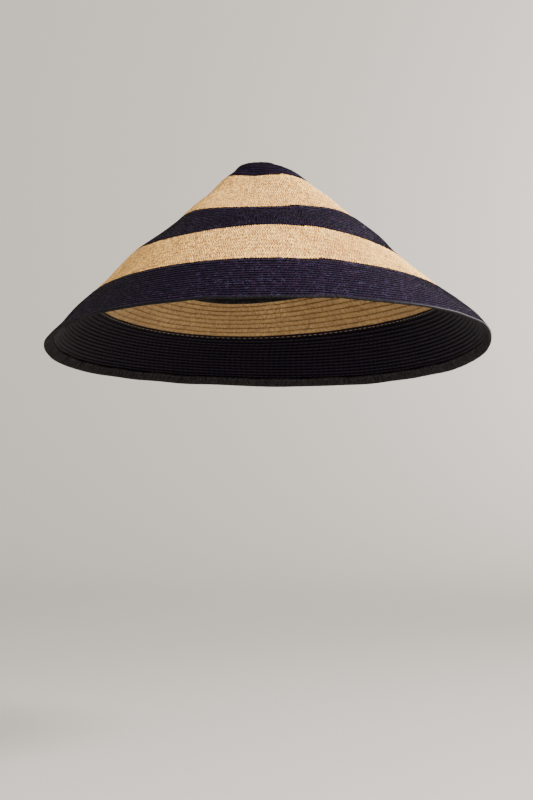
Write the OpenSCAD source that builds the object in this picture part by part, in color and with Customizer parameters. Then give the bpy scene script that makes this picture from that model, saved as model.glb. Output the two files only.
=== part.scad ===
// Conical sun hat, sewn from five coils of straw braid in two colours. The
// rim is bound with ribbon over a wire, and a ribbon sweatband hangs inside.
// The hat stands on its rim at z = 0, its axis is +Z and its front is -Y.
// Each coil is a stack of overlapping rows, so its faces are stepped.

/* [Shell] */
// Diameter over the bound rim
rim_d = 384; // [376:1:392]
// Height from the rim to the tip
hat_h = 155; // [152:1:160]
// Diameter at the top of the brim band
brim_top_d = 303; // [296:1:310]
// Height of the top of the brim band
brim_top_h = 39; // [36:1:42]
// Diameter at the top of the lower natural band
lower_top_d = 232; // [226:1:238]
// Height of the top of the lower natural band
lower_top_h = 74; // [71:1:77]
// Diameter at the top of the middle navy band
middle_top_d = 154; // [148:1:160]
// Height of the top of the middle navy band
middle_top_h = 104; // [101:1:107]
// Diameter at the top of the upper natural band
upper_top_d = 74; // [68:1:80]
// Height of the top of the upper natural band
upper_top_h = 139; // [136:1:142]

/* [Braid] */
// Thickness of one layer of braid
braid_t = 1.2; // [0.8:0.1:1.6]
// How far each row's lower edge stands over the row below
row_step = 0.8; // [0.4:0.1:1.2]
// Rows in the brim band
brim_rows = 16; // [12:1:20]
// Rows in the lower natural band
lower_rows = 10; // [8:1:14]
// Rows in the middle navy band
middle_rows = 14; // [10:1:18]
// Rows in the upper natural band
upper_rows = 11; // [8:1:14]
// Rows in the tip
tip_rows = 11; // [8:1:14]

/* [Rim] */
// Width of the binding's inner leg
binding_w = 9; // [6:0.5:12]
// Thickness of the binding ribbon
binding_t = 0.5; // [0.3:0.05:0.5]
// Diameter of the rim wire
wire_d = 1.2; // [0.8:0.1:1.4]
// Outer diameter of the tube that joins the wire's ends
joiner_d = 1.8; // [1.6:0.1:1.8]
// Length of the joining tube
joiner_l = 20; // [14:1:30]

/* [Sweatband] */
// Inner diameter, for a head 570 mm round
head_d = 181; // [175:1:187]
// Height of the sweatband ribbon
sweatband_w = 32; // [24:1:38]
// Thickness of the sweatband ribbon
sweatband_t = 0.8; // [0.5:0.1:1.2]
// Width of the tab that covers the ribbon's join
tab_w = 14; // [10:1:20]
// Height of the tab
tab_h = 22; // [14:1:22]
// Thickness of the folded tab
tab_t = 1; // [0.6:0.1:1.4]

/* [Thread] */
// Width of a line of sewing thread
thread_w = 0.45; // [0.3:0.05:0.6]
// How far the thread stands off what it lies on
thread_t = 0.25; // [0.15:0.05:0.3]

/* [Hidden] */
$fn = 96;

navy = "#2a2735";
natural = "#dcbf98";
dark_ribbon = "#343236";

// The braid's path starts this far in from the rim and up from the ground
rim_inset = 2;
rim_lift = 2.2;
// The binding's outer lip covers this share of the first row
lip_share = 0.3;
// The ribbon's inner corner under the lip sits this share of its thickness below the outer one
lip_corner_share = 0.25;
// A thread lies this far up the inner face of its row
thread_place = 0.5;
// The rim thread lies this far in from the end of the binding's inner leg
edge_thread_inset = 2;
// Distances down from the sweatband's top edge to its thread and its tab
sweatband_thread_drop = 3;
tab_drop = 6;

// The colour borders, from the rim up, as [radius, height] on the shell
border = [
    [rim_d / 2 - rim_inset, rim_lift],
    [brim_top_d / 2, brim_top_h],
    [lower_top_d / 2, lower_top_h],
    [middle_top_d / 2, middle_top_h],
    [upper_top_d / 2, upper_top_h]
];
rows = [brim_rows, lower_rows, middle_rows, upper_rows, tip_rows];

// The tip is a spherical cap through the last border and the tip's top
tip_rise = hat_h - row_step - upper_top_h;
tip_angle = 2 * atan(tip_rise / border[4].x);
tip_radius = border[4].x / sin(tip_angle);
tip_centre_z = hat_h - row_step - tip_radius;

function along(a, b, share) = a + (b - a) * share;
function unit(v) = v / norm(v);
function outward(v) = [v.y, -v.x];

// One point for each row's lower edge, from the rim to the top of the tip
path = [
    for (k = [0:3], j = [0:rows[k] - 1]) along(border[k], border[k + 1], j / rows[k]),
    for (j = [0:tip_rows])
        let (t = tip_angle * (1 - j / tip_rows))
        [tip_radius * sin(t), tip_centre_z + tip_radius * cos(t)]
];
top_i = len(path) - 1;
normal = [
    for (i = [0:top_i - 1]) outward(unit(path[i + 1] - path[max(i - 1, 0)])),
    [0, 1]
];
first_row = [
    0, brim_rows, brim_rows + lower_rows, brim_rows + lower_rows + middle_rows,
    top_i - tip_rows, top_i
];

// The two faces of the row that starts at path point i, at a share of its width
function outer_face(i, share) = along(
    path[i] + row_step * normal[i],
    path[i + 1] + (i + 1 == top_i ? row_step : 0) * normal[i + 1], share);
function inner_face(i, share) = along(
    path[i] - braid_t * normal[i],
    path[i + 1] - (braid_t + row_step) * normal[i + 1], share);

// A band of sewn braid: coil k, counted from the rim
module coil(k) {
    rotate_extrude() polygon([
        for (i = [first_row[k]:first_row[k + 1] - 1]) each [outer_face(i, 0), outer_face(i, 1)],
        for (i = [first_row[k + 1] - 1:-1:first_row[k]]) each [inner_face(i, 1), inner_face(i, 0)]
    ]);
}

// The threads along the inside of coil k, one ring to a row
module row_threads(k) {
    for (i = [first_row[k]:first_row[k + 1] - 1]) {
        row_w = norm(inner_face(i, 1) - inner_face(i, 0));
        a = inner_face(i, thread_place);
        b = inner_face(i, thread_place + thread_w / row_w);
        inward = thread_t * outward(unit(a - b));
        rotate_extrude() polygon([a, b, b + inward, a + inward]);
    }
}

// Points on the brim's straight path, up from its lower edge and out from it
brim_up = unit(border[1] - border[0]);
function brim_point(up, out) = border[0] + up * brim_up + out * outward(brim_up);

// How far up the brim's path a point this far out from it has height z
function brim_up_at(z, out) = (z - brim_point(0, out).y) / brim_up.y;

wire_r_pos = rim_d / 2 - binding_t - joiner_d / 2;
wire_z = binding_t + joiner_d / 2;
ridge_depth = braid_t + row_step;
leg_depth = ridge_depth + binding_t;

// Height of the middle band's inner ridges at radius r
middle_up = unit(border[3] - border[2]);
ridge_start = border[2] - ridge_depth * outward(middle_up);
function middle_ridge_z(r) = ridge_start.y + (ridge_start.x - r) / -middle_up.x * middle_up.y;

sweatband_r = head_d / 2 + sweatband_t;
sweatband_top = middle_ridge_z(sweatband_r);
tab_angle = 2 * asin(tab_w / 2 / sweatband_r);
joiner_angle = 2 * asin(joiner_l / 2 / wire_r_pos);

module tip_coil() {
    color(navy) coil(4);
}

module upper_natural_coil() {
    color(natural) coil(3);
}

module middle_navy_coil() {
    color(navy) coil(2);
}

module lower_natural_coil() {
    color(natural) coil(1);
}

module brim_navy_coil() {
    color(navy) coil(0);
}

// Ribbon folded round the rim: a long leg inside, a short lip outside
module edge_binding() {
    lip_start = outer_face(0, 0);
    lip_end = outer_face(0, lip_share);
    lip_out = binding_t * outward(unit(lip_end - lip_start));
    shoulder_z = wire_z + joiner_d / 2;
    color(dark_ribbon) rotate_extrude() polygon([
        [rim_d / 2, 0],
        [rim_d / 2, shoulder_z],
        lip_start + lip_out,
        lip_end + lip_out,
        lip_end,
        lip_start,
        [rim_d / 2 - binding_t, shoulder_z - lip_corner_share * binding_t],
        [rim_d / 2 - binding_t, binding_t],
        brim_point(brim_up_at(binding_t, -ridge_depth), -ridge_depth),
        brim_point(binding_w, -ridge_depth),
        brim_point(binding_w, -leg_depth),
        brim_point(brim_up_at(0, -leg_depth), -leg_depth)
    ]);
}

// The wire's ends meet inside the joiner at the back, so it is drawn as a closed ring
module brim_wire() {
    color("dimgray") rotate_extrude() translate([wire_r_pos, wire_z]) circle(d = wire_d);
}

module wire_joiner() {
    color("silver")
    rotate([0, 0, 90 - joiner_angle / 2])
    rotate_extrude(angle = joiner_angle)
    translate([wire_r_pos, wire_z])
    difference() {
        circle(d = joiner_d);
        circle(d = wire_d);
    }
}

module sweatband() {
    color(dark_ribbon)
    translate([0, 0, sweatband_top - sweatband_w])
    rotate_extrude()
    translate([head_d / 2, 0])
    square([sweatband_t, sweatband_w]);
}

// Folded ribbon tab sewn over the sweatband's join, on its outer face
module sweatband_join_tab() {
    color(dark_ribbon)
    rotate([0, 0, 90 - tab_angle / 2])
    translate([0, 0, sweatband_top - tab_drop - tab_h])
    rotate_extrude(angle = tab_angle)
    translate([sweatband_r, 0])
    square([tab_t, tab_h]);
}

module navy_braid_stitching() {
    color(navy) for (k = [0, 2, 4]) row_threads(k);
}

module natural_braid_stitching() {
    color(natural) for (k = [1, 3]) row_threads(k);
}

module sweatband_stitching() {
    color(navy)
    translate([0, 0, sweatband_top - sweatband_thread_drop])
    rotate_extrude()
    translate([sweatband_r, 0])
    square([thread_t, thread_w]);
}

module edge_stitching() {
    low = binding_w - edge_thread_inset;
    high = low + thread_w;
    color(navy) rotate_extrude() polygon([
        brim_point(low, -leg_depth),
        brim_point(high, -leg_depth),
        brim_point(high, -leg_depth - thread_t),
        brim_point(low, -leg_depth - thread_t)
    ]);
}

tip_coil();
upper_natural_coil();
middle_navy_coil();
lower_natural_coil();
brim_navy_coil();
edge_binding();
brim_wire();
wire_joiner();
sweatband();
sweatband_join_tab();
navy_braid_stitching();
natural_braid_stitching();
sweatband_stitching();
edge_stitching();
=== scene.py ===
"""Looks of the conical hat: sewn straw braid in two colours, a bound rim and a ribbon sweatband.

The shell is one spiral of overlapping braid, wound out from the tip. It is built as a strip that follows
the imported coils, row by row, and is then softened a little, because a worn hat isn't a true cone.
"""

import math

import bpy
import numpy as np
from mathutils import Matrix, Vector


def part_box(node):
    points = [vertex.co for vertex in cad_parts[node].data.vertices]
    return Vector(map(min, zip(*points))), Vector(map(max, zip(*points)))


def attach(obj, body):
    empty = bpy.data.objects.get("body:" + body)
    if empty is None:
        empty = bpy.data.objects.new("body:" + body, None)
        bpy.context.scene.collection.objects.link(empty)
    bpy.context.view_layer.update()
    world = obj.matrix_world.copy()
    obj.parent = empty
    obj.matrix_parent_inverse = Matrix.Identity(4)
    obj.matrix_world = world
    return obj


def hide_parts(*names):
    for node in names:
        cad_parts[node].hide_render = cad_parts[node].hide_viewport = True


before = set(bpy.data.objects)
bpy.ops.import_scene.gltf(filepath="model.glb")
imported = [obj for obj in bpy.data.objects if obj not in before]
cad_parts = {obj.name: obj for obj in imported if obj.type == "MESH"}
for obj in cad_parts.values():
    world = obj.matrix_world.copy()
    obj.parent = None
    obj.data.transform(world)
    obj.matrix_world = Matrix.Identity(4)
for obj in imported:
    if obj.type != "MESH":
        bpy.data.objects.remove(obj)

MM = 0.001
TURN = 2 * math.pi
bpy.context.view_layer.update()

# ---------------------------------------------------------------- the shell's shape

# Coils from the rim up, with the rows of braid in each
COILS = [
    ("brim_navy_coil", 16),
    ("lower_natural_coil", 10),
    ("middle_navy_coil", 14),
    ("upper_natural_coil", 11),
    ("tip_coil", 11),
]
ROWS = sum(rows for _, rows in COILS)
EDGE_OUT = 0.55 * MM  # a coil's widest point stands this far outside the shell's path
EDGE_DOWN = 0.88 * MM  # and its lowest point this far below the path
TIP_SINK = 0.8 * MM  # the path ends this far under the top of the CAD tip
STEPS_PER_ROW = 40  # points on the path for each row
CORNER_ROWS = 3  # the corners between the bands are rounded over this many rows
BACK = math.pi / 2


def rounded_profile():
    """Radius, height and outward normal of the shell's path at fine steps of the row number."""
    borders = []
    for node, _ in COILS:
        low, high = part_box(node)
        borders.append((high.x - EDGE_OUT, low.z + EDGE_DOWN))
    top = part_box("tip_coil")[1].z - TIP_SINK
    row = np.arange(ROWS * STEPS_PER_ROW + 1) / STEPS_PER_ROW
    first = np.cumsum([0] + [rows for _, rows in COILS])
    radius = np.interp(row, first[:-1], [border[0] for border in borders])
    height = np.interp(row, first[:-1], [border[1] for border in borders])
    # the tip is a cap of a sphere
    r0, z0 = borders[-1]
    half = math.atan((top - z0) / r0)
    ball = r0 / math.sin(2 * half)
    cap = row >= first[-2]
    t = 2 * half * (ROWS - row[cap]) / COILS[-1][1]
    radius[cap] = ball * np.sin(t)
    height[cap] = top - ball * (1 - np.cos(t))
    # round off the corners between the bands
    span = CORNER_ROWS * STEPS_PER_ROW
    window = np.hanning(2 * span + 1)
    window /= window.sum()

    def smooth(values, mirror):
        before = 2 * values[0] - values[span:0:-1]
        after = values[-2:-span - 2:-1] * mirror
        return np.convolve(np.concatenate([before, values, after]), window, "valid")

    radius = smooth(radius, -1)
    height = smooth(height, 1)
    along_r, along_z = np.gradient(radius), np.gradient(height)
    length = np.hypot(along_r, along_z)
    return row, radius, height, along_z / length, -along_r / length, length * STEPS_PER_ROW


# Row number, radius, height, normal's radial and vertical parts, and width of a row
PATH = rounded_profile()


def along_path(row):
    """Radius, height, normal and row width of the path at these row numbers."""
    row = np.clip(row, 0, ROWS)
    return [np.interp(row, PATH[0], column) for column in PATH[1:]]


def hill(x, width):
    """1 at x = 0, falling smoothly to 0 at a distance of width."""
    return np.where(np.abs(x) < width, 0.5 + 0.5 * np.cos(np.pi * np.clip(x / width, -1, 1)), 0)


class Swell:
    """A gentle wave round the shell: its height, its number of crests, the angle of one crest, and the
    rows of braid over which it rises and falls. With no crests it is the same all round, and with a half
    width it is a single bulge."""

    def __init__(self, height, crests, crest_at, row, reach, half_width=None):
        self.height = height * MM
        self.crests = crests
        self.crest_at = math.radians(crest_at)
        self.row = row
        self.reach = reach
        self.half_width = half_width and math.radians(half_width)

    def at(self, phi, row):
        from_crest = phi - self.crest_at
        if self.half_width:
            wave = hill(np.mod(from_crest + math.pi, TURN) - math.pi, self.half_width)
        else:
            wave = np.cos(self.crests * from_crest)
        return self.height * wave * hill(row - self.row, self.reach)


# The shell pushed out or pulled in
SWELLS_OUT = [
    Swell(-1.5, 0, 0, 28, 30),  # the whole shell is drawn in a little at its waist
    Swell(6.0, 2, -77, 0, 34),  # the brim is oval
    Swell(2.5, 3, 54, 0, 26),  # and its edge waves
    Swell(8.0, 1, 78, 45, 25),  # the crown sits back on the head
    Swell(3.5, 2, -54, 51, 14),
    Swell(2.8, 0, 0, 57, 6),  # the tip is a blunt dome
    Swell(4.2, 1, 180, 58, 6),
    Swell(0.8, 0, 0, 46, 9),  # the crown is broad from side to side
    Swell(0.8, 2, 0, 46, 9),
    Swell(1.2, 1, 180, 51, 6),
    Swell(1.5, 1, 180, 26, 8),
    Swell(3.2, 0, 180, 11, 8, 50),  # the brim bellies out at both sides
    Swell(4.4, 0, 0, 8, 10, 50),
    Swell(2.2, 0, 190, 43, 6, 45),  # small corners in the crown
    Swell(1.4, 0, -5, 34, 6, 50),
    Swell(1.8, 0, 10, 58, 5, 60),  # the tip is fuller at both sides
    Swell(3.8, 0, 185, 58, 5, 60),
    Swell(2.6, 0, 188, 51, 5, 50),
    Swell(-2.2, 0, 0, 43, 5, 50),  # and the crown below it hollow at the left
    Swell(1.6, 0, -5, 4, 6, 35),  # the rim flares at the left
]
# The shell lifted or lowered
SWELLS_UP = [
    Swell(1.7, 3, -16, 0, 16),
    Swell(3.3, 3, 46, 26, 14),  # the brow of the front, where the head presses
    Swell(3.1, 2, 47, 26, 20),
    Swell(2.2, 3, -42, 40, 14),
    Swell(3.2, 1, -170, 54, 22),  # the tip leans to the wearer's right
    Swell(1.3, 2, 36, 49, 14),
    Swell(1.8, 3, 57, 52, 11),
    Swell(1.6, 0, 0, 62, 6),  # the tip's top is flat
    Swell(-2.2, 0, 14, 0, 8, 40),  # the rim droops at the left side
]
RIM_WAVES = 0.30 * MM  # height of the small uneven waves in the rim
RIM_WAVE_ROWS = 7  # which fade out over this many rows
TIP_SHIFT = 4.0 * MM  # the tip has slipped sideways by this much
TIP_SHIFT_FROM = 35  # starting from this row


def ripple(phi, crests, seed):
    """A smooth random value round a ring, about -1 to 1, with roughly this many waves."""
    random = np.random.default_rng(seed)
    total = 0
    for _ in range(5):
        waves = int(round(crests * random.uniform(0.6, 1.4)))
        total = total + np.cos(waves * phi + random.uniform(0, TURN)) * random.uniform(0.5, 1)
    return total / 2.4


def softened(phi, row):
    """How far the shell stands out from, up from and across from its true cone."""
    out = sum(swell.at(phi, row) for swell in SWELLS_OUT)
    up = sum(swell.at(phi, row) for swell in SWELLS_UP)
    out = out + RIM_WAVES * ripple(phi, 16, 51) * hill(row, RIM_WAVE_ROWS)
    up = up + RIM_WAVES * ripple(phi, 20, 52) * hill(row, RIM_WAVE_ROWS)
    across = TIP_SHIFT * np.clip((row - TIP_SHIFT_FROM) / (ROWS - TIP_SHIFT_FROM), 0, 1) ** 2
    return out, up, across


def shell(phi, row, off):
    """Points on the shell at an angle, a row number and a distance out from the path. Below row 0 the path
    carries on straight down."""
    radius, height, normal_r, normal_z, width = along_path(row)
    past = np.minimum(row, 0) * width
    out, up, across = softened(phi, row)
    r = radius + normal_r * off - normal_z * past + out
    z = height + normal_z * off + normal_r * past + up
    return np.stack(np.broadcast_arrays(r * np.cos(phi) + across, r * np.sin(phi), z), -1)


# ---------------------------------------------------------------- the spiral of braid

SEAM = math.radians(-75.5)  # the colours change here, a little right of the front
SHIFT = math.radians(30)  # each row drops to the next over this angle
LEAD = 0.42  # and this share of the angle lies before the seam
TAPER = math.radians(8)  # a coil's last row is tucked up over this angle before the seam
START_EARLY = math.radians(5)  # the next coil starts under it, this far before the seam
START_SINK = 0.7 * MM  # and this deep
WIDTH = 1.55  # width of the braid, in rows
BORDER_FLAT = 0.35  # a coil's last row stands this share less over the next colour
BORDER_LIFT = 0.35 * MM  # which bulges out this far between its teeth
BULGE_AT = 1.2  # the bulge is highest this far across, in rows
BULGE_HALF = 0.35  # and this is its half width
UNDER = 0.10 * MM  # how far the outer face lies under the path by the next row's edge
HIDDEN = 0.55 * MM  # how deep the outer face lies at the braid's upper edge
EDGE_T = 0.5 * MM  # thickness at the lower edge
RIDGE = 1.70 * MM  # how deep the inner ridges stand
RIDGE_INSET = 0.12  # their crests lie this far from the braid's upper edge, in rows
RIDGE_EDGE = 0.8  # and that edge stands this share as deep


def smoothstep(x):
    x = np.clip(x, 0, 1)
    return x * x * (3 - 2 * x)


TUCK = 1 - smoothstep(LEAD)  # by this many rows, which meets the start of the row above


def lower_edge(theta, coil_end=None):
    """Row number of the braid's lower edge at an angle theta along the spiral from the tip.
    coil_end is where its coil ends: the rim's own end, or the next colour."""
    turn = np.floor(theta / TURN + LEAD * SHIFT / TURN + 1e-9)
    past = theta - turn * TURN + LEAD * SHIFT
    row = ROWS - turn - smoothstep(past / SHIFT)
    if coil_end is not None:
        row = row + TUCK * (1 - smoothstep((coil_end - theta) / TAPER))
    return np.maximum(row, 0)


def spiral_length():
    """Many angles along the spiral, and the length of the braid from the tip to each of them."""
    theta = np.linspace(0, ROWS * TURN, ROWS * 720 + 1)
    radius = along_path(lower_edge(theta))[0]
    # the length has to grow even where the radius is next to nothing
    least_step = 0.02 * MM
    step = np.hypot(np.diff(theta) * 0.5 * (radius[1:] + radius[:-1]), least_step)
    return theta, np.concatenate([[0], np.cumsum(step)])


SPIRAL = spiral_length()


class Plait:
    """The knobbly surface of one kind of braid."""

    def __init__(self, step, pitch, relief, shingle, scallop, teeth, columns, seed):
        self.step = step  # distance between cross-sections
        self.pitch = pitch  # length of one knob
        self.relief = relief  # height of the knobs outside
        self.shingle = shingle  # how far a row's edge stands over the row below
        self.scallop = scallop  # depth of the scallops along the edges, in rows
        self.teeth = teeth  # and where the edge lies over the next colour
        self.columns = columns  # points across the part that shows
        self.seed = seed


NATURAL = Plait(step=0.45 * MM, pitch=1.9 * MM, relief=0.36 * MM, shingle=0.14 * MM,
                scallop=0.36, teeth=0.36, columns=11, seed=11)
NAVY = Plait(step=0.55 * MM, pitch=3.2 * MM, relief=0.13 * MM, shingle=0.42 * MM,
             scallop=0.15, teeth=0.62, columns=10, seed=12)
INNER_RELIEF = 0.05 * MM  # height of the knobs inside
LIVELY = 0.45  # how much the knobs' height varies
LIVELY_OVER = 2.3 * MM  # over this length
DRIFT = 1.2  # the knobs run ahead or fall behind by this many
DRIFT_OVER = 31 * MM  # over this length
SHORT_DRIFT = 0.6  # and by this many
SHORT_DRIFT_OVER = 8 * MM  # over this one
SWAY = 0.05  # how far the braid wanders across, in rows
SWAY_OVER = 13 * MM  # over this length
TOOTH = 2.2 * MM  # length of one scallop along the edges
TOOTH_DRIFT = 0.3  # the scallops run ahead or fall behind by this many
TOOTH_DRIFT_OVER = 17 * MM  # over this length
SHOWN = 1.04  # the outer face shows from its lower edge up to here, in rows
COVERED = 1.3  # and this place on it lies under the next row
INNER_MIDDLE = 0.9 * MM  # how deep the inner face lies where the ridge starts
LAST_ROW = ROWS - 0.06  # no point comes nearer to the hat's axis than this row
INSIDE = 8  # added to the places across the braid on its inner face, which tells the two faces apart


def wander(length, spacing, seed):
    """A smooth random value, about -1 to 1, at each length along the braid."""
    random = np.random.default_rng(seed).uniform(-1, 1, int(length.max() / spacing) + 4)
    x = length / spacing + 1
    i = np.floor(x).astype(int)
    t = smoothstep(x - i)
    return random[i] * (1 - t) + random[i + 1] * t


def outer_face(v, theta, coil_start, at_border, plait):
    """How far the outer face stands out from the path, by angle and by place across the braid."""
    shingle = plait.shingle * (1 - BORDER_FLAT * at_border)
    at_start = (1 - smoothstep((theta - coil_start - TURN) / SHIFT))[:, None] * (coil_start > 0)
    # the lower edge flares, and from a third of the way up the face sinks to the next row's edge
    sink = np.interp(v, [0, 0.06, 0.3, 1, WIDTH], [-0.35, 0, 0.1, 1, 1])
    hidden = np.interp(v, [SHOWN, WIDTH], [-UNDER, -HIDDEN])
    proud = BORDER_LIFT * hill(v - BULGE_AT, BULGE_HALF) * at_start
    return np.where(v <= SHOWN, shingle * (1 - sink) - UNDER, hidden) + proud


def inner_face(v, at_border, plait):
    """How far the inner face lies in from the path. It deepens to a ridge at the braid's upper edge."""
    lower = EDGE_T + UNDER - plait.shingle * (1 - BORDER_FLAT * at_border)
    middle = WIDTH - 1
    to_ridge = np.interp(v, [middle, WIDTH - RIDGE_INSET, WIDTH], [INNER_MIDDLE, RIDGE, RIDGE_EDGE * RIDGE])
    return np.where(v < middle, lower + (INNER_MIDDLE - lower) * v / middle, to_ridge)


def scallops(v, s, at_border, plait):
    """How far up the edge is notched, in rows, by length along the braid and by place across it."""
    depth = plait.scallop + (plait.teeth - plait.scallop) * at_border
    tooth = s / TOOTH + TOOTH_DRIFT * wander(s, TOOTH_DRIFT_OVER, plait.seed + 4)
    wave = 0.5 - 0.5 * np.cos(TURN * tooth)
    low_side = np.clip(1 - v / (0.6 + 0.5 * at_border), 0, 1)
    high_side = np.clip(1 - (WIDTH - v) / 0.25, 0, 1)
    return depth * wave[:, None] * (low_side - 0.1 * high_side)


def braid_strip(name, first_turn, last_turn, plait, coil_start, coil_end):
    """One length of braid, from one turn of the spiral to another, as a closed mesh."""
    coil_start, coil_end = coil_start * TURN, coil_end * TURN
    theta_ends = np.array([first_turn, last_turn]) * TURN
    if 0 < coil_start == theta_ends[0]:
        theta_ends[0] -= START_EARLY
    s0, s1 = np.interp(theta_ends, *SPIRAL)
    s = np.linspace(s0, s1, int((s1 - s0) / plait.step) + 1)
    theta = np.interp(s, SPIRAL[1], SPIRAL[0])
    at_border = smoothstep((theta - coil_end + TURN + SHIFT) / SHIFT)[:, None] * (coil_end < ROWS * TURN)
    tucked = START_SINK * (1 - smoothstep((theta - coil_start) / START_EARLY)) * (coil_start > 0)

    # How many knobs along, how high they are and how far across they lie
    seed = plait.seed
    knob = s / plait.pitch + DRIFT * wander(s, DRIFT_OVER, seed)
    knob = knob + SHORT_DRIFT * wander(s, SHORT_DRIFT_OVER, seed + 3)
    lively = 1 + LIVELY * wander(s, LIVELY_OVER, seed + 1)
    sway = SWAY * wander(s, SWAY_OVER, seed + 2)

    # Across the outer face, up from the lower edge, then back down the inner face
    v_out = np.concatenate([np.linspace(0, SHOWN, plait.columns), [COVERED, WIDTH]])
    v_in = np.concatenate([np.linspace(WIDTH, WIDTH - 0.98, 6), [0.3, 0.04]])
    v = np.concatenate([v_out, v_in])
    knobs = lively[:, None] * np.cos(TURN * knob)[:, None] * np.cos(TURN * v)[None, :]
    relief = np.concatenate([plait.relief * (v_out <= SHOWN), -INNER_RELIEF * (v_in > 0.5)])
    off = np.concatenate([outer_face(v_out, theta, coil_start, at_border, plait),
                          -inner_face(v_in, at_border, plait)], axis=1)
    off = off + knobs * relief - tucked[:, None]
    row = lower_edge(theta, coil_end)[:, None] + v + scallops(v, s, at_border, plait) + sway[:, None]
    points = shell(SEAM + theta[:, None], np.minimum(row, LAST_ROW), off)

    place = v.copy()
    place[len(v_out) - 1:-1] += INSIDE
    uv = np.stack([knob[:, None] + place, knob[:, None] - place], -1) + 0.5
    return tube_mesh(name, points, uv)


def tube_mesh(name, points, uv=None, ring=False):
    """A mesh from cross-sections: points[i, j] is point j of section i. A ring joins its ends, and
    anything else is closed by a flat face at each end."""
    n, m = points.shape[:2]
    i = np.arange(n if ring else n - 1)[:, None]
    j = np.arange(m)[None, :]
    i2, j2 = (i + 1) % n, (j + 1) % m
    quads = np.stack([i * m + j, i2 * m + j, i2 * m + j2, i * m + j2], -1).reshape(-1, 4)
    caps = [] if ring else [np.arange(m), (n - 1) * m + np.arange(m)[::-1]]
    loops = np.concatenate([quads.ravel()] + caps)
    sizes = np.concatenate([np.full(len(quads), 4), [m] * len(caps)])
    return raw_mesh(name, points.reshape(-1, 3), loops, sizes, uv)


def raw_mesh(name, points, loops, sizes, uv=None):
    """A mesh from its points, the corners of its faces one after another, and its faces' sizes. Its
    quads are shaded smooth."""
    mesh = bpy.data.meshes.new(name)
    mesh.vertices.add(len(points))
    mesh.vertices.foreach_set("co", points.ravel().astype(np.float32))
    mesh.loops.add(len(loops))
    mesh.loops.foreach_set("vertex_index", loops.astype(np.int32))
    mesh.polygons.add(len(sizes))
    starts = np.concatenate([[0], np.cumsum(sizes)[:-1]]).astype(np.int32)
    mesh.polygons.foreach_set("loop_start", starts)
    mesh.polygons.foreach_set("use_smooth", sizes == 4)
    if uv is not None:
        layer = mesh.uv_layers.new(name="plait")
        layer.data.foreach_set("uv", uv.reshape(-1, 2)[loops.astype(int)].ravel().astype(np.float32))
    mesh.update(calc_edges=True)
    mesh.validate()
    piece = bpy.data.objects.new(name, mesh)
    bpy.context.scene.collection.objects.link(piece)
    return piece


def settle(piece, material, slot, *nodes):
    """Gives a piece its material and its place in the frame."""
    piece.data.materials.append(material)
    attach(piece, "root")
    if nodes:
        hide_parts(*nodes)
    return piece


# ---------------------------------------------------------------- materials


def node_material(name, roughness, specular=0.5):
    material = bpy.data.materials.new(name)
    material.use_nodes = True
    shader = material.node_tree.nodes["Principled BSDF"]
    shader.inputs["Roughness"].default_value = roughness
    shader.inputs["Specular IOR Level"].default_value = specular
    return material, shader


class Graph:
    """Short ways to add and join the nodes of one material."""

    def __init__(self, material):
        self.nodes = material.node_tree.nodes
        self.links = material.node_tree.links

    def feed(self, socket, value):
        if isinstance(value, bpy.types.NodeSocket):
            self.links.new(value, socket)
        else:
            socket.default_value = value

    def math(self, operation, *values):
        node = self.nodes.new("ShaderNodeMath")
        node.operation = operation
        for socket, value in zip(node.inputs, values):
            self.feed(socket, value)
        return node.outputs[0]

    def vector(self, operation, *values):
        node = self.nodes.new("ShaderNodeVectorMath")
        node.operation = operation
        for socket, value in zip(node.inputs, values):
            self.feed(socket, value)
        return node.outputs[0]

    def split(self, vector):
        """The x and y of a vector."""
        node = self.nodes.new("ShaderNodeSeparateXYZ")
        self.feed(node.inputs[0], vector)
        return node.outputs[0], node.outputs[1]

    def blend(self, share, first, second, mode="MIX"):
        node = self.nodes.new("ShaderNodeMix")
        node.data_type = "RGBA"
        node.blend_type = mode
        self.feed(node.inputs[0], share)
        for socket, colour in zip(node.inputs[6:8], (first, second)):
            self.feed(socket, colour if isinstance(colour, bpy.types.NodeSocket) else (*colour, 1))
        return node.outputs[2]

    def ranged(self, value, low, high, to_low=0.0, to_high=1.0):
        """The value carried from one range to another, and held at its ends."""
        node = self.nodes.new("ShaderNodeMapRange")
        for socket, v in zip(node.inputs, (value, low, high, to_low, to_high)):
            self.feed(socket, v)
        return node.outputs[0]

    def noise(self, scale, detail=2.0):
        coords = self.nodes.new("ShaderNodeTexCoord")
        node = self.nodes.new("ShaderNodeTexNoise")
        node.inputs["Scale"].default_value = scale
        node.inputs["Detail"].default_value = detail
        self.links.new(coords.outputs["Object"], node.inputs["Vector"])
        return node.outputs["Fac"]

    def places(self):
        """The UV map of the braid and the ribbons."""
        uv = self.nodes.new("ShaderNodeUVMap")
        uv.uv_map = "plait"
        return uv.outputs["UV"]

    def white(self, place, offset=0.0):
        """A random value for each place. Another offset gives another value."""
        node = self.nodes.new("ShaderNodeTexWhiteNoise")
        node.noise_dimensions = "2D"
        self.links.new(self.vector("ADD", place, (offset, offset, 0)), node.inputs["Vector"])
        return node.outputs["Value"]

    def plus(self, total, value, middle, weight):
        """total + (value - middle) * weight."""
        return self.math("ADD", total, self.math("MULTIPLY", self.math("SUBTRACT", value, middle), weight))

    def bump(self, shader, height, strength, distance):
        node = self.nodes.new("ShaderNodeBump")
        node.inputs["Strength"].default_value = strength
        node.inputs["Distance"].default_value = distance
        self.links.new(height, node.inputs["Height"])
        self.links.new(node.outputs["Normal"], shader.inputs["Normal"])


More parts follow.
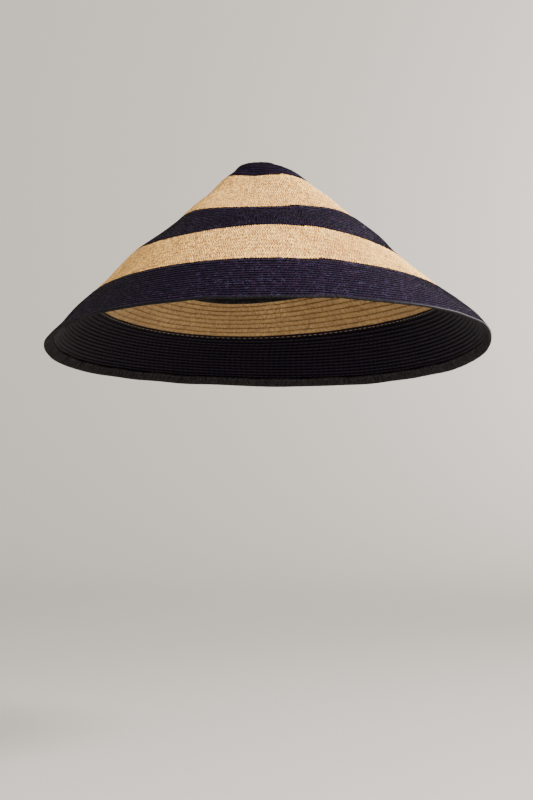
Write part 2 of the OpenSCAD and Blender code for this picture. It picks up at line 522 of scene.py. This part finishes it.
def braid_material(name, looks):
    """Plaited straw: each knob has its own tone, the gaps between them are darkened with painted shade,
    each row carries a painted highlight along its bulge, and the inner face is darkened with painted shade.
    """
    material, shader = node_material(name, looks["roughness"], looks["specular"])
    g = Graph(material)
    places = g.places()
    cell = g.vector("FLOOR", places)
    from_middle = g.vector("SUBTRACT", g.vector("FRACTION", places), (0.5, 0.5, 0))
    # where the gaps between the knobs lie, used for the painted shade in the gaps and for the bump
    gap = g.ranged(g.math("MAXIMUM", *g.split(g.vector("ABSOLUTE", from_middle))), 0.26, 0.5)
    across = g.math("MULTIPLY", g.math("SUBTRACT", *g.split(places)), 0.5)
    inside = g.math("GREATER_THAN", across, INSIDE * 0.75)
    # painted light: a row is lightest a third of the way up from its lower edge, a painted highlight along
    # its bulge, and darker towards the next row's edge, painted shade
    row_light_band = g.ranged(g.math("COSINE", g.math("MULTIPLY", g.math("SUBTRACT", across, 0.3), TURN)), 0.0, 1.0)
    patches = g.noise(55.0)
    fibres = g.noise(1500.0, 1.0)

    # on the inner face the plait is pressed flat: its knobs' tones vary less and the painted shade in its
    # gaps is weaker
    contrast = g.ranged(inside, 0.0, 1.0, looks["contrast"], looks["contrast"] * 0.35)
    painted_gap_shade = g.ranged(inside, 0.0, 1.0, looks["gap"], looks["gap"] * 0.3)
    tone = g.plus(0.5, g.white(cell), 0.5, contrast)
    tone = g.plus(tone, patches, 0.5, looks["patchy"])
    # painted highlight and painted shade along each row
    tone = g.plus(tone, row_light_band, 0.4, looks["painted_row_light"])
    tone = g.plus(tone, fibres, 0.5, 0.7)
    # painted shade: the knobs are darkened towards the gaps between them
    tone = g.math("SUBTRACT", tone, g.math("MULTIPLY", gap, painted_gap_shade))

    colour = g.blend(g.ranged(tone, 0.0, 1.0), looks["dark"], looks["light"])
    tint = g.math("MULTIPLY", g.ranged(g.white(cell, 37.0), 0.3, 1.0),
                  g.ranged(g.noise(24.0), 0.35, 0.65, 0.2, looks["tint_share"]))
    colour = g.blend(tint, colour, looks["tint"])
    fleck = g.ranged(g.white(cell, 91.0), 1.0 - looks["flecks"], 1.0 - 0.5 * looks["flecks"], 0.0, 0.75)
    fleck = g.math("MULTIPLY", fleck, g.math("SUBTRACT", 1.0, inside))
    colour = g.blend(fleck, colour, looks["fleck"])
    # painted shade: the inner face is darkened and tinted, as if in the hat's shade
    colour = g.blend(inside, colour, g.blend(1.0, colour, looks["inner_painted_shade"], "MULTIPLY"))
    g.feed(shader.inputs["Base Color"], colour)
    g.feed(shader.inputs["Specular IOR Level"],
           g.ranged(inside, 0.0, 1.0, looks["specular"], looks["specular"] * 0.7))
    g.bump(shader, g.math("SUBTRACT", fibres, gap), looks["bump"], 0.3 * MM)
    return material


RIB = 0.72 * MM  # width of a rib of the ribbon
PUCKER_SHADE_SPACING = 4.6 * MM  # distance between streaks of painted shade, where the ribbon puckers
FOLD_AT = 0.75 * MM  # the binding's fold lies this far round from the end of its lip
FOLD_HIGHLIGHT_HALF = 0.2 * MM  # and carries a painted highlight over this half width
FOLD_HIGHLIGHT_STRETCH = [(-62, -40), (2, -8)]  # between these angles, where the painted highlight fades in and out
RIBBON_DARK = (0.0025, 0.0021, 0.0026)
RIBBON_SHADED_BY_FOLD = (0.0110, 0.0095, 0.0110)  # the light end of the ribbon's tone by the fold, darker there as painted shade over the roll
RIBBON_LIGHT = (0.0200, 0.0175, 0.0190)  # and further from it, lighter as a painted sheen on the leg
# colour of the painted highlight along the fold
RIBBON_FOLD_HIGHLIGHT = (0.170, 0.160, 0.175)


def ribbon_material():
    """Ribbed ribbon: fine ribs across it, uneven puckers shown by streaks of painted shade, painted shade
    by the fold with a painted sheen further up, and a painted highlight along a stretch of the fold.
    """
    material, shader = node_material("dark_ribbon", 0.8, 0.07)
    g = Graph(material)
    along, reach = g.split(g.places())
    rib = g.math("SINE", g.math("MULTIPLY", along, TURN / RIB))
    weave = g.noise(1100.0, 1.0)
    # painted highlight: a thin pale line along the binding's fold
    fold = g.math("MULTIPLY", g.ranged(reach, FOLD_AT - FOLD_HIGHLIGHT_HALF, FOLD_AT),
                  g.ranged(reach, FOLD_AT + FOLD_HIGHLIGHT_HALF, FOLD_AT))
    rim_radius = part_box("edge_binding")[1].x
    for start, end in FOLD_HIGHLIGHT_STRETCH:
        fold = g.math("MULTIPLY", fold, g.ranged(along, math.radians(start) * rim_radius,
                                                 math.radians(end) * rim_radius))
    # painted shade: darker streaks across the ribbon that stand for its puckers' shade
    pucker_shade = g.math("SINE", g.math("ADD", g.math("MULTIPLY", along, TURN / PUCKER_SHADE_SPACING),
                                   g.math("MULTIPLY", g.noise(110.0), 30.0)))
    tone = g.math("MULTIPLY", rib, 0.22)
    for value, weight in ((weave, 0.5), (g.noise(38.0), 0.3), (g.noise(230.0), 0.6), (pucker_shade, 0.25)):
        tone = g.plus(tone, value, 0.0, weight)
    # painted light: darker by the fold, painted shade over the roll, and lighter up the leg, painted sheen
    light = g.blend(g.ranged(reach, 1.5 * MM, 3.0 * MM), RIBBON_SHADED_BY_FOLD, RIBBON_LIGHT)
    colour = g.blend(g.ranged(tone, 0.3, 1.05), RIBBON_DARK, light)
    # the painted highlight on the fold
    g.feed(shader.inputs["Base Color"], g.blend(fold, colour, RIBBON_FOLD_HIGHLIGHT))
    g.bump(shader, g.math("ADD", rib, weave), 0.5, 0.15 * MM)
    return material


def plain_material(name, colour, roughness, metallic=0.0):
    material, shader = node_material(name, roughness)
    shader.inputs["Base Color"].default_value = (*colour, 1)
    shader.inputs["Metallic"].default_value = metallic
    return material


# Colours of the knobs, from their darkest tone up, then how strongly each feature shows; among them are
# painted shade in the gaps, painted light along each row and painted shade on the inner face
NATURAL_MATERIAL = braid_material("natural_braid", {
    "dark": (0.33, 0.158, 0.050), "light": (0.88, 0.480, 0.100), "tint": (0.96, 0.60, 0.160),
    "fleck": (0.26, 0.10, 0.03), "inner_painted_shade": (0.43, 0.46, 0.62), "tint_share": 0.75,
    "flecks": 0.10, "painted_row_light": 0.05, "patchy": 0.2, "contrast": 1.3, "gap": 1.4,
    "roughness": 0.5, "specular": 0.4, "bump": 0.5})
NAVY_MATERIAL = braid_material("navy_braid", {
    "dark": (0.0009, 0.0004, 0.0015), "light": (0.0108, 0.0068, 0.0238), "tint": (0.0185, 0.0050, 0.0165),
    "fleck": (0.020, 0.015, 0.034), "inner_painted_shade": (0.44, 0.42, 0.44), "tint_share": 0.55,
    "flecks": 0.12, "painted_row_light": 2.4, "patchy": 0.2, "contrast": 0.55, "gap": 0.7,
    "roughness": 0.5, "specular": 0.08, "bump": 0.6})
RIBBON_MATERIAL = ribbon_material()
WIRE_MATERIAL = plain_material("rim_wire", (0.02, 0.02, 0.022), 0.6)
JOINER_MATERIAL = plain_material("joiner_metal", (0.62, 0.60, 0.56), 0.35, 1.0)
NAVY_THREAD_MATERIAL = plain_material("navy_thread", (0.008, 0.006, 0.012), 0.7)
NATURAL_THREAD_MATERIAL = plain_material("natural_thread", (0.30, 0.21, 0.12), 0.7)
STAGE_MATERIAL = plain_material("stage_paint", (0.370, 0.343, 0.308), 0.9)

# ---------------------------------------------------------------- the braid

PIECES_PER_COIL = {
    "brim_navy_coil": 8, "lower_natural_coil": 5, "middle_navy_coil": 5,
    "upper_natural_coil": 3, "tip_coil": 1,
}


def coil_of_braid(node, first_turn, rows):
    """One coil, cut into lengths so that no mesh is too large."""
    if "natural" in node:
        plait, material, slot = NATURAL, NATURAL_MATERIAL, "natural_braid"
    else:
        plait, material, slot = NAVY, NAVY_MATERIAL, "navy_braid"
    count = PIECES_PER_COIL[node]
    cuts = [first_turn + rows * k // count for k in range(count + 1)]
    for k in range(count):
        number = f"_{k + 1}" if count > 1 else ""
        piece = braid_strip(node.replace("coil", "braid") + number, cuts[k], cuts[k + 1], plait,
                            first_turn, first_turn + rows)
        settle(piece, material, slot, node)


def coils_from_tip():
    """Each coil's node, the turn of the spiral that it starts at, and its rows."""
    turn = 0
    for node, rows in reversed(COILS):
        yield node, turn, rows
        turn += rows


for coil in coils_from_tip():
    coil_of_braid(*coil)

# ---------------------------------------------------------------- rim

BINDING_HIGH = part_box("edge_binding")[1]
WIRE_LOW, WIRE_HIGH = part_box("brim_wire")
JOINER_LOW, JOINER_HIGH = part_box("wire_joiner")
RIM_R = BINDING_HIGH.x
WIRE_R = (WIRE_HIGH.z - WIRE_LOW.z) / 2
JOINER_R = (JOINER_HIGH.z - JOINER_LOW.z) / 2
RIBBON_T = RIM_R - WIRE_HIGH.x - (JOINER_R - WIRE_R)
RIM_ROW_WIDTH = along_path(0.0)[4]
# The wire's centre, down from the braid's edge and out from its path
WIRE_DOWN = -0.4 * MM
WIRE_OUT = -1.0 * MM
ROLL_R = WIRE_R + RIBBON_T + 0.05 * MM  # the ribbon's outer face goes round the wire at this radius
ROLL_FROM, ROLL_TO = 60, -120  # over these angles, measured from straight down towards the outside
BINDING_STEP = 0.45 * MM  # from one section of the binding to the next, a quarter of a rib
LEG = 9.0 * MM  # the binding's inner leg reaches this far up
LEG_FROM = 1.2 * MM  # and lies flat from here
LEG_DEPTH = RIDGE + 0.12 * MM + RIBBON_T  # its face lies this deep, just past the braid's inner ridges
LIP = 0.3 * MM  # the outer lip reaches this far up, just under the braid's edge
LIP_OUT = 0.3 * MM  # and stands this far out
RIB_HEIGHT = 0.05 * MM  # of the ribbon's ribs
FINE_PUCKER = 0.36 * MM  # height of the leg's small puckers
BROAD_PUCKER = 0.25 * MM  # and of its broad ones
LEG_WAVER = 0.35 * MM  # how unevenly its end runs


def rim_row(phi):
    """Row number of the braid's last edge at these angles."""
    theta = (ROWS - 1) * TURN + np.mod(phi - SEAM, TURN)
    return lower_edge(theta, ROWS * TURN)


def at_rim(phi, down, off):
    """Points by the rim: down from the last edge of the braid, and out from its path."""
    return shell(phi, rim_row(phi) - down / RIM_ROW_WIDTH, off)


def ring_angles(step):
    """Angles round the rim, this far apart."""
    count = int(TURN * RIM_R / step)
    return SEAM + TURN * np.arange(count) / count


def binding_face():
    """The ribbon's outer face in section, as places down and out, from the lip's end to the leg's end."""
    bend = np.radians(np.linspace(ROLL_FROM, ROLL_TO, 9))
    lip = [(-LIP, LIP_OUT), (0, LIP_OUT + 0.02 * MM)]
    fold = [(WIRE_DOWN + ROLL_R * math.cos(t), WIRE_OUT + ROLL_R * math.sin(t)) for t in bend]
    leg = [(-up, -LEG_DEPTH) for up in np.linspace(LEG_FROM, LEG, 7)]
    return np.array(lip + fold + leg)


def rim_binding():
    """Grosgrain ribbon folded round the wire: a thin lip outside, a roll, and a long leg inside."""
    phi = ring_angles(BINDING_STEP)[:, None]
    face = binding_face()
    along = np.gradient(face, axis=0)
    along /= np.hypot(along[:, :1], along[:, 1:])
    # the inner face lies one thickness behind it
    behind = face + RIBBON_T * np.stack([along[:, 1], -along[:, 0]], -1)
    section = np.concatenate([face, behind[::-1]])
    down, off = section[None, :, 0], section[None, :, 1]
    leg_share = np.clip(-down / LEG, 0, 1) * (off < 0)
    # ribs on the outer face only
    rib = RIB_HEIGHT * np.cos(phi * (len(phi) // 4)) * (np.arange(len(section)) < len(face))
    pucker = FINE_PUCKER * ripple(phi, 240, 31) * (0.3 + leg_share)
    pucker = pucker + BROAD_PUCKER * ripple(phi, 40, 32) * leg_share
    waver = LEG_WAVER * ripple(phi, 30, 33) * leg_share
    points = at_rim(phi, down + waver, off - rib - pucker * (off < -RIDGE))
    reach = np.concatenate([[0], np.cumsum(np.hypot(*np.diff(face, axis=0).T))])
    uv = np.stack(np.broadcast_arrays(phi * RIM_R, np.concatenate([reach, reach[::-1]])), -1)
    binding = tube_mesh("rim_binding", points, uv, ring=True)
    return settle(binding, RIBBON_MATERIAL, "dark_ribbon", "edge_binding")


def bent_wire(name, phi, radius, sides, ring):
    around = TURN * np.arange(sides) / sides
    down = WIRE_DOWN + radius * np.cos(around)[None, :]
    off = WIRE_OUT + radius * np.sin(around)[None, :]
    return tube_mesh(name, at_rim(phi[:, None], down, off), ring=ring)


def rim_wire():
    wire = bent_wire("rim_wire", ring_angles(2.5 * MM), WIRE_R, 10, True)
    return settle(wire, WIRE_MATERIAL, "rim_wire", "brim_wire")


def rim_wire_joiner():
    half = (JOINER_HIGH.x - JOINER_LOW.x) / 2 / RIM_R
    phi = BACK + np.linspace(-half, half, 12)
    joiner = bent_wire("rim_wire_joiner", phi, JOINER_R, 12, False)
    return settle(joiner, JOINER_MATERIAL, "joiner_metal", "wire_joiner")


# ---------------------------------------------------------------- stitches

STITCH = 5.0 * MM  # from one stitch to the next
STITCH_SHARE = 0.62  # the thread lies on the face for this share of it
BRAID_THREAD = 0.22 * MM  # thickness of the thread in the braid
RIBBON_THREAD = 0.24 * MM  # and in the ribbons
SEWN_AT = 1.16  # the braid is sewn this far across, in rows
SEAM_LINE_DEPTH = RIDGE - 0.32 * MM  # where its inner face lies this deep
RIM_THREAD_INSET = 1.6 * MM  # the rim's thread lies this far in from the end of the leg
BAND_THREAD_DROP = 3.0 * MM  # and the sweatband's this far down from its top


def stitches(name, starts, ends, place, thickness, material, slot, *nodes):
    """Short stitches, each a flat loop of thread from one place to the next. place(t) gives the point, its
    way off the cloth and its way across."""
    share = np.array([0, 0.12, 0.5, 0.88, 1])
    # the thread comes up out of the cloth, lies on it, and goes down again
    rise = np.array([0.05, 0.75, 1, 0.75, 0.05])
    t = starts[:, None] + (ends - starts)[:, None] * share[None, :]
    centre, lift, side = place(t)
    corners = np.radians([45, 135, 225, 315])
    h = np.sin(corners)[None, None, :, None]
    w = np.cos(corners)[None, None, :, None]
    rise = rise[None, :, None, None]
    points = (centre[:, :, None, :] + lift[:, :, None, :] * thickness * rise * (0.6 + 0.7 * h)
              + side[:, :, None, :] * thickness * w * (0.4 + 0.6 * rise))
    count, sections, m = points.shape[:3]
    base = (np.arange(count) * sections * m)[:, None, None]
    i = np.arange(sections - 1)[None, :, None]
    j = np.arange(m)[None, None, :]
    j2 = (j + 1) % m
    near, far = base + i * m, base + (i + 1) * m
    quads = np.stack([near + j, far + j, far + j2, near + j2], -1)
    first = base[:, :, 0] + np.arange(m)[None, :]
    last = base[:, :, 0] + (sections - 1) * m + np.arange(m)[None, ::-1]
    faces = np.concatenate([quads.reshape(-1, 4), first, last])
    piece = raw_mesh(name, points.reshape(-1, 3), faces.ravel(), np.full(len(faces), 4))
    return settle(piece, material, slot, *nodes)


def by_shell(phi, row, off):
    """A point on the shell with the ways in from it and up along it."""
    point = shell(phi, row, off)
    inward = shell(phi, row, off - 1 * MM) - point
    upward = shell(phi, row + 0.2, off) - point
    inward /= np.linalg.norm(inward, axis=-1, keepdims=True)
    upward /= np.linalg.norm(upward, axis=-1, keepdims=True)
    return point, inward, upward


def row_stitches(name, coils, material, slot, node):
    """The seam that sews each row of braid to the next, seen inside. Each colour's thread starts a turn
    late and runs on for a turn past the colour change."""
    starts = []
    for coil, turn, rows in coils_from_tip():
        if coil in coils:
            first = turn + 1 if turn else 0.5
            last = min(turn + rows + 1, ROWS)
            s0, s1 = np.interp([first * TURN, last * TURN], *SPIRAL)
            starts.append(np.arange(s0, s1 - STITCH, STITCH))
    starts = np.concatenate(starts)

    def place(s):
        theta = np.interp(s, SPIRAL[1], SPIRAL[0])
        return by_shell(SEAM + theta, lower_edge(theta) + SEWN_AT, -SEAM_LINE_DEPTH)

    return stitches(name, starts, starts + STITCH_SHARE * STITCH, place, BRAID_THREAD, material, slot, node)


def ring_stitches(name, place, length, node):
    count = int(length / STITCH)
    starts = SEAM + TURN * np.arange(count) / count
    ends = starts + STITCH_SHARE * TURN / count
    return stitches(name, starts, ends, place, RIBBON_THREAD, NAVY_THREAD_MATERIAL, "navy_thread", node)


def rim_stitches():
    def place(phi):
        row = rim_row(phi) + (LEG - RIM_THREAD_INSET) / RIM_ROW_WIDTH
        return by_shell(phi, row, -LEG_DEPTH)

    return ring_stitches("rim_stitches", place, TURN * RIM_R, "edge_stitching")


# ---------------------------------------------------------------- sweatband

BAND_LOW, BAND_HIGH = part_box("sweatband")
BAND_R = BAND_HIGH.x
BAND_H = BAND_HIGH.z - BAND_LOW.z
BAND_T = 0.8 * MM
BAND_RIB = 1.5 * MM  # width of one of its ribs
BAND_RIB_HEIGHT = 0.06 * MM
PICOT = 0.25 * MM  # the ribs' ends stand out from its edges by this much
SELVEDGE = 0.5 * MM  # it is thinner over this width along them
SELVEDGE_INSET = 0.15 * MM  # by this much on each face
AT_EDGE = 0.1 * MM  # a point this close to an edge lies on it
HANG = 0.15  # the ribbon's lower edge follows this share less of the shell's swells
BAND_WAVES = 0.5 * MM  # height of the loose waves in its lower edge
TAB_T = 1.0 * MM
TAB_RIB = 1.6 * MM
TAB_FOLD = 0.3 * MM  # the tab's folded ends are rounded off by this much


def row_of_ridges(radius):
    """Row number where the inner ridges are this far from the axis."""
    rows, path_radius, _, normal_r = PATH[:4]
    return float(np.interp(-radius, RIDGE * normal_r - path_radius, rows))


BAND_ROW = row_of_ridges(BAND_R)


def by_sweatband(phi, down, out):
    """A point on the sweatband: down from its top edge, and out from its outer face."""
    out_by, up_by, across = softened(phi, BAND_ROW)
    drop = down / BAND_H
    radius = BAND_R + out + out_by * (1 - HANG * drop) + BAND_WAVES * ripple(phi, 6, 41) * drop ** 2
    height = BAND_HIGH.z - down + up_by + BAND_WAVES * ripple(phi, 4, 42) * drop
    return np.stack(np.broadcast_arrays(
        radius * np.cos(phi) + across, radius * np.sin(phi), height), -1)


def band_mesh(name, phi, levels, section, ring):
    """A strip of ribbon: its outer face down from the top and its inner face back up. section gives the
    places down and out at each angle."""
    down = np.concatenate([levels, levels[::-1]])[None, :]
    outer = (np.arange(2 * len(levels)) < len(levels))[None, :]
    uv = np.stack(np.broadcast_arrays(phi * BAND_R, down), -1)
    return tube_mesh(name, by_sweatband(phi, *section(phi, down, outer)), uv, ring=ring)


def sweatband_ribbon():
    """Ribbed ribbon standing on its edge, sewn in by its top."""
    ribs = int(TURN * BAND_R / BAND_RIB)
    phi = (BACK + TURN * np.arange(ribs * 4) / (ribs * 4))[:, None]

    def section(phi, down, outer):
        # thinner at the selvedges, ribbed on both faces
        inset = (np.minimum(down, BAND_H - down) < SELVEDGE) * SELVEDGE_INSET
        relief = BAND_RIB_HEIGHT * np.cos(ribs * phi) - inset
        at_edge = (down > BAND_H - AT_EDGE) * 1.0 - (down < AT_EDGE)
        picot = PICOT * (np.cos(ribs * phi) > 0) * at_edge
        return down + picot, np.where(outer, relief, -BAND_T - relief)

    band = band_mesh("sweatband_ribbon", phi, np.linspace(0, BAND_H, 13), section, True)
    return settle(band, RIBBON_MATERIAL, "dark_ribbon", "sweatband")


def sweatband_tab():
    """A folded tab that covers the ribbon's join at the back."""
    low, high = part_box("sweatband_join_tab")
    half = (high.x - low.x) / 2 / BAND_R
    phi = (BACK + np.linspace(-half, half, 29))[:, None]
    top, bottom = BAND_HIGH.z - high.z, BAND_HIGH.z - low.z

    def section(phi, down, outer):
        rounded = TAB_FOLD * ((down <= top) | (down >= bottom))
        rib = RIB_HEIGHT * np.cos(TURN * phi * BAND_R / TAB_RIB)
        return down, (TAB_T - rounded + rib) * outer

    tab = band_mesh("sweatband_tab", phi, np.linspace(top, bottom, 12), section, False)
    return settle(tab, RIBBON_MATERIAL, "dark_ribbon", "sweatband_join_tab")


def sweatband_stitches():
    def place(phi):
        point = by_sweatband(phi, BAND_THREAD_DROP, -BAND_T)
        inward = by_sweatband(phi, BAND_THREAD_DROP, -BAND_T - 1 * MM) - point
        upward = by_sweatband(phi, BAND_THREAD_DROP - 1 * MM, -BAND_T) - point
        return point, inward / MM, upward / MM

    return ring_stitches("sweatband_stitches", place, TURN * BAND_R, "sweatband_stitching")


# ---------------------------------------------------------------- tip

# The knot's rings from its top down, in mm: each one's radius and its height over the end of the path
KNOT_RINGS = [(0.2, 0.35), (1.2, 0.3), (2.2, 0.1), (2.9, -0.4), (2.9, -1.0), (1.8, -1.2), (0.4, -1.2)]
KNOT_SIDES = 24
KNOT_LOBES = 0.12  # each ring is wider and narrower by this share
KNOT_BUMPS = 0.12  # and higher and lower by this much
KNOT_PLAIT = (1.2, 0.7)  # knobs of the plait for each radian round it and for each ring


def tip_knot():
    """The braid's folded start, at the very top of the tip."""
    phi = TURN * np.arange(KNOT_SIDES) / KNOT_SIDES
    centre = shell(np.array([0.0]), np.array([float(ROWS)]), 0)[0]
    points = np.zeros((len(KNOT_RINGS), KNOT_SIDES, 3))
    for i, (radius, level) in enumerate(KNOT_RINGS):
        lobed = radius * MM * (1 + KNOT_LOBES * np.cos(3 * phi + i) * (i > 0))
        height = level * MM + KNOT_BUMPS * MM * np.cos(5 * phi + 2 * i)
        points[i] = centre + np.stack([lobed * np.cos(phi), lobed * np.sin(phi), height], -1)
    rings = np.arange(len(KNOT_RINGS))
    uv = np.stack(np.broadcast_arrays(phi[None, :] * KNOT_PLAIT[0], rings[:, None] * KNOT_PLAIT[1]), -1)
    knot = tube_mesh("tip_start_knot", points[::-1], uv[::-1])
    return settle(knot, NAVY_MATERIAL, "navy_braid", "tip_coil")


# ---------------------------------------------------------------- the other pieces

binding = rim_binding()
rim_wire()
rim_wire_joiner()
rim_thread = rim_stitches()
band = sweatband_ribbon()
tab = sweatband_tab()
band_thread = sweatband_stitches()
row_stitches("navy_row_stitches", ("brim_navy_coil", "middle_navy_coil", "tip_coil"),
             NAVY_THREAD_MATERIAL, "navy_thread", "navy_braid_stitching")
row_stitches("natural_row_stitches", ("lower_natural_coil", "upper_natural_coil"),
             NATURAL_THREAD_MATERIAL, "natural_thread", "natural_braid_stitching")
tip_knot()

# ---------------------------------------------------------------- camera, stage and light

TILT = math.radians(9.9)  # the hat sits tipped back by this much
DISTANCE = 2.0  # from the camera to the hat's axis
RISE = 0.0436  # the rim's height above the camera
FOCAL = 108.4  # the lens, in mm, on a sensor 36 mm high
SENSOR = 36
ROLL = math.radians(0.4)  # the hat's right side sits this much higher
ASIDE = 0.003  # the rim's centre lies this far right of the camera
STAGE_DROP = 0.35  # the floor lies this far below the rim
FLOOR_R = 1.9  # the floor is flat out to here
BEND_R = 1.9  # and curves up into the wall over this radius
WALL_H = 2.3

world_up = Vector((0, -math.sin(TILT), math.cos(TILT)))
world_forward = Vector((0, math.cos(TILT), math.sin(TILT)))
world_right = Vector((1, 0, 0))


def in_room(right, forward, up):
    """A place in the room, seen from the rim's centre, in the row frame."""
    return world_right * right + world_forward * forward + world_up * up


def turned(right, up, forward):
    return Matrix((right, up, -forward)).transposed().to_4x4()


def add_camera():
    data = bpy.data.cameras.new("camera")
    data.lens = FOCAL
    data.sensor_width = SENSOR
    camera = bpy.data.objects.new("camera", data)
    bpy.context.scene.collection.objects.link(camera)
    camera.matrix_world = (
        Matrix.Translation(in_room(-ASIDE, -DISTANCE, -RISE)) @ turned(world_right, world_up, world_forward)
        @ Matrix.Rotation(-ROLL, 4, "Z"))
    bpy.context.scene.camera = camera


def add_stage():
    """A round studio sweep: a floor that curves up into a wall all round."""
    bend = np.radians(np.linspace(0, 90, 25))
    profile = [(0.02, 0.0)]
    profile += [(FLOOR_R + BEND_R * math.sin(a), BEND_R * (1 - math.cos(a))) for a in bend]
    profile.append((FLOOR_R + BEND_R, BEND_R + WALL_H))
    n, m = 96, len(profile)
    points = [in_room(r * math.cos(a), r * math.sin(a), z - STAGE_DROP)
              for a in TURN * np.arange(n) / n for r, z in profile]
    faces = [(i * m + j, (i + 1) % n * m + j, (i + 1) % n * m + j + 1, i * m + j + 1)
             for i in range(n) for j in range(m - 1)]
    faces.append([i * m for i in range(n)][::-1])
    mesh = bpy.data.meshes.new("studio_sweep")
    mesh.from_pydata(points, [], faces)
    mesh.polygons.foreach_set("use_smooth", np.ones(len(mesh.polygons), bool))
    mesh.materials.append(STAGE_MATERIAL)
    sweep = bpy.data.objects.new("studio_sweep", mesh)
    bpy.context.scene.collection.objects.link(sweep)


def add_light(name, place, aim, size, power):
    """A square soft light at a place in the room, turned to another, with its power in watts."""
    data = bpy.data.lights.new(name, "AREA")
    data.shape = "RECTANGLE"
    data.size = data.size_y = size
    data.energy = power
    light = bpy.data.objects.new(name, data)
    bpy.context.scene.collection.objects.link(light)
    light.location = in_room(*place)
    light.visible_camera = False
    light.rotation_mode = "QUATERNION"
    light.rotation_quaternion = (in_room(*aim) - light.location).to_track_quat("-Z", "Y")


def add_world():
    world = bpy.data.worlds.new("studio")
    world.use_nodes = True
    background = world.node_tree.nodes["Background"]
    background.inputs["Color"].default_value = (1.0, 0.99, 0.97, 1)
    background.inputs["Strength"].default_value = 0.40
    bpy.context.scene.world = world


add_camera()
add_stage()
add_light("key", (2.1, -1.0, 1.3), (0, 0, 0), 1.1, 390)
add_light("fill", (-2.2, -1.2, -0.1), (0, 0, 0), 1.4, 95)
add_light("wall_wash", (1.7, 2.5, 0.7), (1.0, 3.7, 0.2), 1.0, 100)
add_world()
